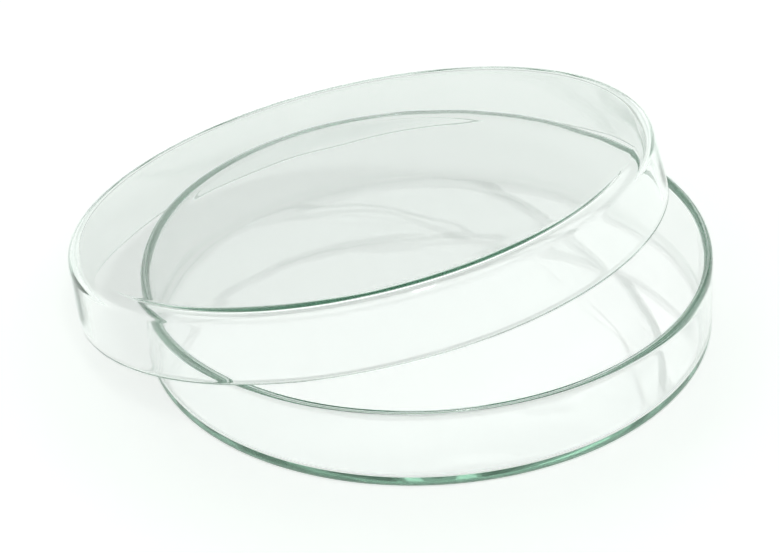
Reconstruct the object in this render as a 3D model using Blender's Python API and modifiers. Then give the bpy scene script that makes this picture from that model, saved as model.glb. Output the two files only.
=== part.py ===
"""Glass petri dish: a round base dish with a loose lid leaning on its rim.

Metres, +Z up. The origin is the centre of the base dish's underside. The lid is
a wider dish turned upside down. It is shifted and tilted towards -X, so the
whole object is symmetric about the XZ plane.
"""

import math

import bpy

# Glass thickness
WALL = 0.0015
PLATE = 0.0014  # the base dish's floor and the lid's top

# Base dish
BASE_RADIUS = 0.047  # at the rim
BASE_HEIGHT = 0.0144
BASE_TAPER = 0.0002  # how much less the radius is at the floor
BASE_CORNER = 0.0016  # outer rounding between floor and wall
BASE_INNER_CORNER = 0.001
BASE_RIM = 0.0015  # height of the fire-polished rounding at the top of the wall

# Lid
LID_RADIUS = 0.0504  # at the rim
LID_HEIGHT = 0.01235
LID_TAPER = 0.0008  # how much less the radius is at the top
LID_CORNER = 0.0024  # outer rounding between top and wall
LID_INNER_CORNER = 0.0012
LID_RIM = 0.0008

# How the lid leans. Its low rim hangs just off the table, its top rests on the
# base dish's rim on that side, and the two rims cross and touch further round.
# Each of those touching places keeps a gap of about 0.4 mm.
LID_TILT = math.radians(12.6)
LID_SHIFT = 0.0122  # from the base dish's axis to the centre of the lid's rim
LID_RIM_LIFT = 0.0112  # height of the centre of the lid's rim

# Fineness of the turned surfaces
TURN_STEPS = 96
RIM_SEGMENTS = 6
CORNER_SEGMENTS = 5
MERGE_DISTANCE = 1e-5

GLASS_TINT = (0.90, 0.96, 0.93, 1.0)
GLASS_ROUGHNESS = 0.02
GLASS_IOR = 1.5


def clear_scene():
    for obj in list(bpy.data.objects):
        bpy.data.objects.remove(obj, do_unlink=True)


def arc(centre, radius, start, end, segments):
    """Points on an arc in the half-plane, its angles in degrees from +X."""
    points = []
    for i in range(segments + 1):
        angle = math.radians(start + (end - start) * i / segments)
        points.append((centre[0] + radius * math.cos(angle), centre[1] + radius * math.sin(angle)))
    return points


def rim_arc(radius, height, rim):
    """The rounded top of a wall, half an ellipse of height rim, from inside to outside."""
    half = WALL / 2
    return [
        (r, height - rim + z * rim / half)
        for r, z in arc((radius - half, 0.0), half, 180, 0, RIM_SEGMENTS)
    ]


def dish_outline(radius, height, taper, corner, inner_corner, rim):
    """Half section of an open dish: up the inside, over the rim, down the outside."""
    inner_foot = (radius - WALL - inner_corner, PLATE + inner_corner)
    outer_foot = (radius - corner, corner)
    wall = [
        *arc(inner_foot, inner_corner, -90, 0, CORNER_SEGMENTS),
        *rim_arc(radius, height, rim),
        *arc(outer_foot, corner, 0, -90, CORNER_SEGMENTS),
    ]
    tapered_wall = [(r - taper * (1 - z / height), z) for r, z in wall]
    return [(0.0, PLATE), *tapered_wall, (0.0, 0.0)]


def glass(name):
    material = bpy.data.materials.new(name)
    material.use_nodes = True
    shader = material.node_tree.nodes["Principled BSDF"]
    shader.inputs["Base Color"].default_value = GLASS_TINT
    shader.inputs["Metallic"].default_value = 0.0
    shader.inputs["Roughness"].default_value = GLASS_ROUGHNESS
    shader.inputs["IOR"].default_value = GLASS_IOR
    shader.inputs["Transmission Weight"].default_value = 1.0
    return material


def turned_dish(name, outline, collection):
    """A dish turned about its own Z axis, open upwards, standing on its origin."""
    points = [(r, 0.0, z) for r, z in outline]
    edges = [(i, i + 1) for i in range(len(points) - 1)]
    mesh = bpy.data.meshes.new(name)
    mesh.from_pydata(points, edges, [])
    mesh.materials.append(glass(name + "_glass"))
    obj = bpy.data.objects.new(name, mesh)
    collection.objects.link(obj)
    screw = obj.modifiers.new("Turn", "SCREW")
    screw.axis = "Z"
    screw.angle = math.tau
    screw.steps = TURN_STEPS
    screw.render_steps = TURN_STEPS
    screw.use_merge_vertices = True
    screw.merge_threshold = MERGE_DISTANCE
    screw.use_smooth_shade = True
    return obj


def make_base_dish(collection):
    outline = dish_outline(
        BASE_RADIUS, BASE_HEIGHT, BASE_TAPER, BASE_CORNER, BASE_INNER_CORNER, BASE_RIM
    )
    return turned_dish("base_dish", outline, collection)


def make_lid(collection):
    """The lid hangs from an empty at the centre of its rim, which lifts straight up."""
    lift = bpy.data.objects.new("lid_lift", None)
    lift.empty_display_size = LID_RADIUS
    lift.location = (-LID_SHIFT, 0.0, LID_RIM_LIFT)
    collection.objects.link(lift)

    outline = dish_outline(
        LID_RADIUS, LID_HEIGHT, LID_TAPER, LID_CORNER, LID_INNER_CORNER, LID_RIM
    )
    lid = turned_dish("lid", outline, collection)
    lid.parent = lift
    lid.rotation_euler = (0.0, math.pi - LID_TILT, 0.0)
    lid.location = (-math.sin(LID_TILT) * LID_HEIGHT, 0.0, math.cos(LID_TILT) * LID_HEIGHT)
    return lid


def main():
    clear_scene()
    collection = bpy.data.collections.new("petri_dish")
    bpy.context.scene.collection.children.link(collection)
    make_base_dish(collection)
    make_lid(collection)


main()
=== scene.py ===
"""Looks of the glass petri dish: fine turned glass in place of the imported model, a
white table that glows a little, a studio whose walls are lit in bands, and a camera
above the front right.

Metres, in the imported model's frame: the base dish stands on z = 0 and the lid
leans towards -X, so the XZ plane is the plane of symmetry.
"""

import math

import bmesh
import bpy
from mathutils import Matrix, Vector


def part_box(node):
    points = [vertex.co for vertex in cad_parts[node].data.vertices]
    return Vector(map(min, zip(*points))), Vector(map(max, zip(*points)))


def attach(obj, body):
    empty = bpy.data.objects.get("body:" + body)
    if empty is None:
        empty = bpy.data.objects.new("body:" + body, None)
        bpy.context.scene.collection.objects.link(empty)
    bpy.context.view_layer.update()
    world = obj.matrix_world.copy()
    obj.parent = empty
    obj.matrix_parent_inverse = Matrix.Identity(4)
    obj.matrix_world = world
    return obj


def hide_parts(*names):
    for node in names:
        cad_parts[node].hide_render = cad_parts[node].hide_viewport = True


# Glass dimensions that the boxes of the nodes don't give
WALL = 0.0015
PLATE = 0.0014
BASE_HEIGHT = 0.0144
BASE_TAPER = 0.0002
BASE_CORNER = 0.0016
BASE_INNER_CORNER = 0.001
BASE_RIM = 0.0015
LID_HEIGHT = 0.01235
LID_TAPER = 0.0008
LID_CORNER = 0.0024
LID_INNER_CORNER = 0.0012
LID_RIM = 0.0008
LID_TILT = math.radians(12.6)

# Fineness of the turned glass
TURN_STEPS = 320
RIM_SEGMENTS = 14
CORNER_SEGMENTS = 12
WALL_SEGMENTS = 12
PLATE_RINGS = 20

# Soda-lime glass, clear across its thickness and green along it
GLASS_IOR = 1.517
ABSORPTION_COLOUR = (0.0, 0.37, 0.19, 1.0)
ABSORPTION_DENSITY = 17.0
GLASS_BOUNCES = 200

# Unevenness of the glass: slow waves of its faces, and faint patches less polished
WAVE_SCALE = 55.0
WAVE_DETAIL = 0.5
WAVE_HEIGHT = 0.00022
PATCH_SCALE = 160.0
PATCH_DETAIL = 3.0
PATCH_START = 0.5  # noise below this is fully polished
PATCH_FULL = 0.8  # noise above this has PATCH_ROUGHNESS
PATCH_ROUGHNESS = 0.015

# Camera, as it stands round the dish
VIEW_AZIMUTH = math.radians(43.45)
VIEW_ELEVATION = math.radians(31.76)
VIEW_ROLL = math.radians(-3.46)
VIEW_DISTANCE = 0.5507
VIEW_OFFSET = (-0.0062, 0.0087)  # how far right and up the camera is moved before the roll
SENSOR_WIDTH = 36.0
LENS = 152.3
CLIP_START = 0.01

# Studio
TABLE_SIZE = 3.0
TABLE_GAP = 0.0001
TABLE_COLOUR = (0.92, 0.92, 0.92, 1.0)
TABLE_GLOW = 0.59
STUDIO_RADIUS = 2.0
STUDIO_WHITE = (0.985, 1.0, 0.99)
STUDIO_GREEN = (0.008, 0.045, 0.018)  # added to the walls, and all that is left where they are dark
WALL_BRIGHTNESS = [  # elevation in degrees, and brightness
    (0, 0.6),
    (6, 0.4),
    (10, 0.25),
    (25, 0.25),
    (28, 1.05),
    (37, 1.05),
    (40, 0.7),
    (48, 0.55),
    (53, 0.2),
    (66, 0.0),
]
SOFT_BOXES = [  # name, azimuth and elevation ranges in degrees, and radiance
    ("back_light", (-33, 13), (27, 38), 1.2),
    ("high_back_light", (-50, 15), (38, 50), 0.4),
    ("low_back_light", (-34, 34), (6, 26), 0.3),
    ("key_light", (160, 172), (48, 60), 8.0),
]


# Meshes


def arc(centre, radius, start, end, segments):
    """Points on an arc in the half-plane, its angles in degrees from +X."""
    points = []
    for i in range(segments + 1):
        angle = math.radians(start + (end - start) * i / segments)
        points.append((centre[0] + radius * math.cos(angle), centre[1] + radius * math.sin(angle)))
    return points


def straight(start, end, segments):
    """Points between two ends, without the ends."""
    return [
        (
            start[0] + (end[0] - start[0]) * i / segments,
            start[1] + (end[1] - start[1]) * i / segments,
        )
        for i in range(1, segments)
    ]


def rim_arc(radius, height, rim):
    """The rounded top of a wall, half an ellipse of height rim, from inside to outside."""
    half = WALL / 2
    return [
        (r, height - rim + z * rim / half)
        for r, z in arc((radius - half, 0.0), half, 180, 0, RIM_SEGMENTS)
    ]


def dish_outline(radius, height, taper, corner, inner_corner, rim):
    """Half section of an open dish: up the inside, over the rim, down the outside."""
    inner_foot = (radius - WALL - inner_corner, PLATE + inner_corner)
    inner_arc = arc(inner_foot, inner_corner, -90, 0, CORNER_SEGMENTS)
    top_arc = rim_arc(radius, height, rim)
    outer_arc = arc((radius - corner, corner), corner, 0, -90, CORNER_SEGMENTS)
    wall = [
        *inner_arc,
        *straight(inner_arc[-1], top_arc[0], WALL_SEGMENTS),
        *top_arc,
        *straight(top_arc[-1], outer_arc[0], WALL_SEGMENTS),
        *outer_arc,
    ]
    tapered_wall = [(r - taper * (1 - z / height), z) for r, z in wall]
    inner_centre = (0.0, PLATE)
    outer_centre = (0.0, 0.0)
    return [
        inner_centre,
        *straight(inner_centre, tapered_wall[0], PLATE_RINGS),
        *tapered_wall,
        *straight(tapered_wall[-1], outer_centre, PLATE_RINGS),
        outer_centre,
    ]


def turned_dish(name, outline):
    """A closed, smooth mesh of a dish turned about its own Z axis, open upwards."""
    bm = bmesh.new()
    rings = []
    for r, z in outline[1:-1]:
        ring = []
        for i in range(TURN_STEPS):
            angle = math.tau * i / TURN_STEPS
            ring.append(bm.verts.new((r * math.cos(angle), r * math.sin(angle), z)))
        rings.append(ring)
    floor_centre = bm.verts.new((0.0, 0.0, outline[0][1]))
    under_centre = bm.verts.new((0.0, 0.0, outline[-1][1]))
    for i in range(TURN_STEPS):
        j = (i + 1) % TURN_STEPS
        bm.faces.new((floor_centre, rings[0][i], rings[0][j]))
        for lower, upper in zip(rings, rings[1:]):
            bm.faces.new((lower[i], upper[i], upper[j], lower[j]))
        bm.faces.new((under_centre, rings[-1][j], rings[-1][i]))
    bmesh.ops.recalc_face_normals(bm, faces=bm.faces)
    mesh = bpy.data.meshes.new(name)
    bm.to_mesh(mesh)
    bm.free()
    mesh.shade_smooth()
    obj = bpy.data.objects.new(name, mesh)
    bpy.context.scene.collection.objects.link(obj)
    return obj


# Materials


def noise(nodes, links, place, scale, detail):
    """Noise over the piece's own coordinates."""
    pattern = nodes.new("ShaderNodeTexNoise")
    pattern.inputs["Scale"].default_value = scale
    pattern.inputs["Detail"].default_value = detail
    links.new(place.outputs["Object"], pattern.inputs["Vector"])
    return pattern.outputs["Fac"]


def glass_material(name):
    """Clear glass, whose green is seen where the light runs far inside it."""
    material = bpy.data.materials.new(name)
    material.use_nodes = True
    nodes, links = material.node_tree.nodes, material.node_tree.links
    shader = nodes["Principled BSDF"]
    shader.inputs["Base Color"].default_value = (1.0, 1.0, 1.0, 1.0)
    shader.inputs["Metallic"].default_value = 0.0
    shader.inputs["IOR"].default_value = GLASS_IOR
    shader.inputs["Transmission Weight"].default_value = 1.0
    place = nodes.new("ShaderNodeTexCoord")
    waves = nodes.new("ShaderNodeBump")
    waves.inputs["Strength"].default_value = 1.0
    waves.inputs["Distance"].default_value = WAVE_HEIGHT
    links.new(noise(nodes, links, place, WAVE_SCALE, WAVE_DETAIL), waves.inputs["Height"])
    links.new(waves.outputs["Normal"], shader.inputs["Normal"])
    patches = nodes.new("ShaderNodeMapRange")
    patches.inputs["From Min"].default_value = PATCH_START
    patches.inputs["From Max"].default_value = PATCH_FULL
    patches.inputs["To Max"].default_value = PATCH_ROUGHNESS
    links.new(noise(nodes, links, place, PATCH_SCALE, PATCH_DETAIL), patches.inputs["Value"])
    links.new(patches.outputs["Result"], shader.inputs["Roughness"])
    absorption = nodes.new("ShaderNodeVolumeAbsorption")
    absorption.inputs["Color"].default_value = ABSORPTION_COLOUR
    absorption.inputs["Density"].default_value = ABSORPTION_DENSITY
    links.new(absorption.outputs["Volume"], nodes["Material Output"].inputs["Volume"])
    return material


# Pieces


def full_radius(low, high, taper, height, rim):
    """The wall's radius if it went on to its full height: it is widest just under the rim."""
    return (high.y - low.y) / 2 + taper * rim / height


def make_base(material):
    low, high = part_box("base_dish")
    radius = full_radius(low, high, BASE_TAPER, BASE_HEIGHT, BASE_RIM)
    outline = dish_outline(
        radius, BASE_HEIGHT, BASE_TAPER, BASE_CORNER, BASE_INNER_CORNER, BASE_RIM
    )
    glass = turned_dish("base_glass", outline)
    glass.data.materials.append(material)
    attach(glass, "base")
    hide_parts("base_dish")


def make_lid(material):
    """The lid's box gives its radius, and with the tilt its place."""
    low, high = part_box("lid")
    radius = full_radius(low, high, LID_TAPER, LID_HEIGHT, LID_RIM)
    outline = dish_outline(radius, LID_HEIGHT, LID_TAPER, LID_CORNER, LID_INNER_CORNER, LID_RIM)
    glass = turned_dish("lid_glass", outline)
    turn = Matrix.Rotation(math.pi - LID_TILT, 4, "Y")
    glass.data.transform(turn)
    turned_low_x = min(vertex.co.x for vertex in glass.data.vertices)
    turned_low_z = min(vertex.co.z for vertex in glass.data.vertices)
    glass.location = (low.x - turned_low_x, 0.0, low.z - turned_low_z)
    glass.data.materials.append(material)
    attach(glass, "lid")
    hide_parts("lid")


# Studio


def direction(azimuth, elevation):
    """A unit vector. Azimuth turns from straight behind the dish towards the camera's right."""
    turn = VIEW_AZIMUTH - math.radians(azimuth)
    flat = math.cos(math.radians(elevation))
    return Vector(
        (-math.sin(turn) * flat, math.cos(turn) * flat, math.sin(math.radians(elevation)))
    )


def make_table():
    """A pale table that also glows a little by itself, like a light table."""
    bpy.ops.mesh.primitive_plane_add(size=TABLE_SIZE, location=(0.0, 0.0, -TABLE_GAP))
    table = bpy.context.object
    table.name = "table"
    material = bpy.data.materials.new("white_table")
    material.use_nodes = True
    shader = material.node_tree.nodes["Principled BSDF"]
    shader.inputs["Base Color"].default_value = TABLE_COLOUR
    shader.inputs["Roughness"].default_value = 1.0
    shader.inputs["Specular IOR Level"].default_value = 0.0
    shader.inputs["Emission Color"].default_value = (*STUDIO_WHITE, 1.0)
    shader.inputs["Emission Strength"].default_value = TABLE_GLOW
    table.data.materials.append(material)


def soft_box(name, azimuth, elevation, radiance):
    """A lit rectangle that fills two ranges of angles, in degrees, as the dish sees it."""
    place = direction(sum(azimuth) / 2, sum(elevation) / 2) * STUDIO_RADIUS
    width, height = (
        2 * STUDIO_RADIUS * math.tan(math.radians(high - low) / 2)
        for low, high in (azimuth, elevation)
    )
    width *= math.cos(math.radians(sum(elevation) / 2))
    light = bpy.data.lights.new(name, "AREA")
    light.shape = "RECTANGLE"
    light.size = width
    light.size_y = height
    light.color = STUDIO_WHITE
    light.energy = radiance * math.pi * width * height
    obj = bpy.data.objects.new(name, light)
    obj.location = place
    obj.rotation_euler = (-place).to_track_quat("-Z", "Y").to_euler()
    bpy.context.scene.collection.objects.link(obj)


def make_lights():
    for name, azimuth, elevation, radiance in SOFT_BOXES:
        soft_box(name, azimuth, elevation, radiance)


def make_world():
    """Walls that are dim low down, bright at the height of the back light, and dark above."""
    world = bpy.data.worlds.new("studio")
    world.use_nodes = True
    nodes, links = world.node_tree.nodes, world.node_tree.links
    background = nodes["Background"]
    place = nodes.new("ShaderNodeTexCoord")
    split = nodes.new("ShaderNodeSeparateXYZ")
    links.new(place.outputs["Generated"], split.inputs["Vector"])
    ramp = nodes.new("ShaderNodeValToRGB")
    links.new(split.outputs["Z"], ramp.inputs["Fac"])
    links.new(ramp.outputs["Color"], background.inputs["Color"])
    background.inputs["Strength"].default_value = 1.0
    while len(ramp.color_ramp.elements) < len(WALL_BRIGHTNESS):
        ramp.color_ramp.elements.new(1.0)
    for element, (elevation, brightness) in zip(ramp.color_ramp.elements, WALL_BRIGHTNESS):
        element.position = math.sin(math.radians(elevation))
        element.color = [
            *(brightness * white + green for white, green in zip(STUDIO_WHITE, STUDIO_GREEN)),
            1.0,
        ]
    bpy.context.scene.world = world


def let_light_bounce():
    """Light that enters a rim or a corner goes on inside the glass, from face to face."""
    cycles = bpy.context.scene.cycles
    cycles.max_bounces = GLASS_BOUNCES
    cycles.glossy_bounces = GLASS_BOUNCES
    cycles.transmission_bounces = GLASS_BOUNCES


def make_camera():
    """Looks down at the dish from VIEW_AZIMUTH round from the front, rolled a little."""
    back = Vector(
        (
            math.sin(VIEW_AZIMUTH) * math.cos(VIEW_ELEVATION),
            -math.cos(VIEW_AZIMUTH) * math.cos(VIEW_ELEVATION),
            math.sin(VIEW_ELEVATION),
        )
    )
    right = Vector((math.cos(VIEW_AZIMUTH), math.sin(VIEW_AZIMUTH), 0.0))
    up = back.cross(right)
    place = back * VIEW_DISTANCE + right * VIEW_OFFSET[0] + up * VIEW_OFFSET[1]
    roll = Matrix.Rotation(VIEW_ROLL, 3, back)
    right, up = roll @ right, roll @ up
    camera = bpy.data.cameras.new("camera")
    camera.sensor_width = SENSOR_WIDTH
    camera.lens = LENS
    camera.clip_start = CLIP_START
    obj = bpy.data.objects.new("camera", camera)
    axes = Matrix((right, up, back)).transposed().to_4x4()
    obj.matrix_world = Matrix.Translation(place) @ axes
    bpy.context.scene.collection.objects.link(obj)
    bpy.context.scene.camera = obj


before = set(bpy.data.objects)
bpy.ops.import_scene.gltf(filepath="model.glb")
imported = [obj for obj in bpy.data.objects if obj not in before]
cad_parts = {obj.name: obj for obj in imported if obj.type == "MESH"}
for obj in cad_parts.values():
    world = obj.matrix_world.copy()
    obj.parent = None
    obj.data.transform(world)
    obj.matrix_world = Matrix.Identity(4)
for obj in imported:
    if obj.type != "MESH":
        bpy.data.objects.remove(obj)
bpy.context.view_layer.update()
make_camera()
clear_glass = glass_material("clear_glass")
make_base(clear_glass)
make_lid(clear_glass)
make_table()
make_lights()
make_world()
let_light_bounce()
bpy.context.scene.view_settings.view_transform = "Standard"
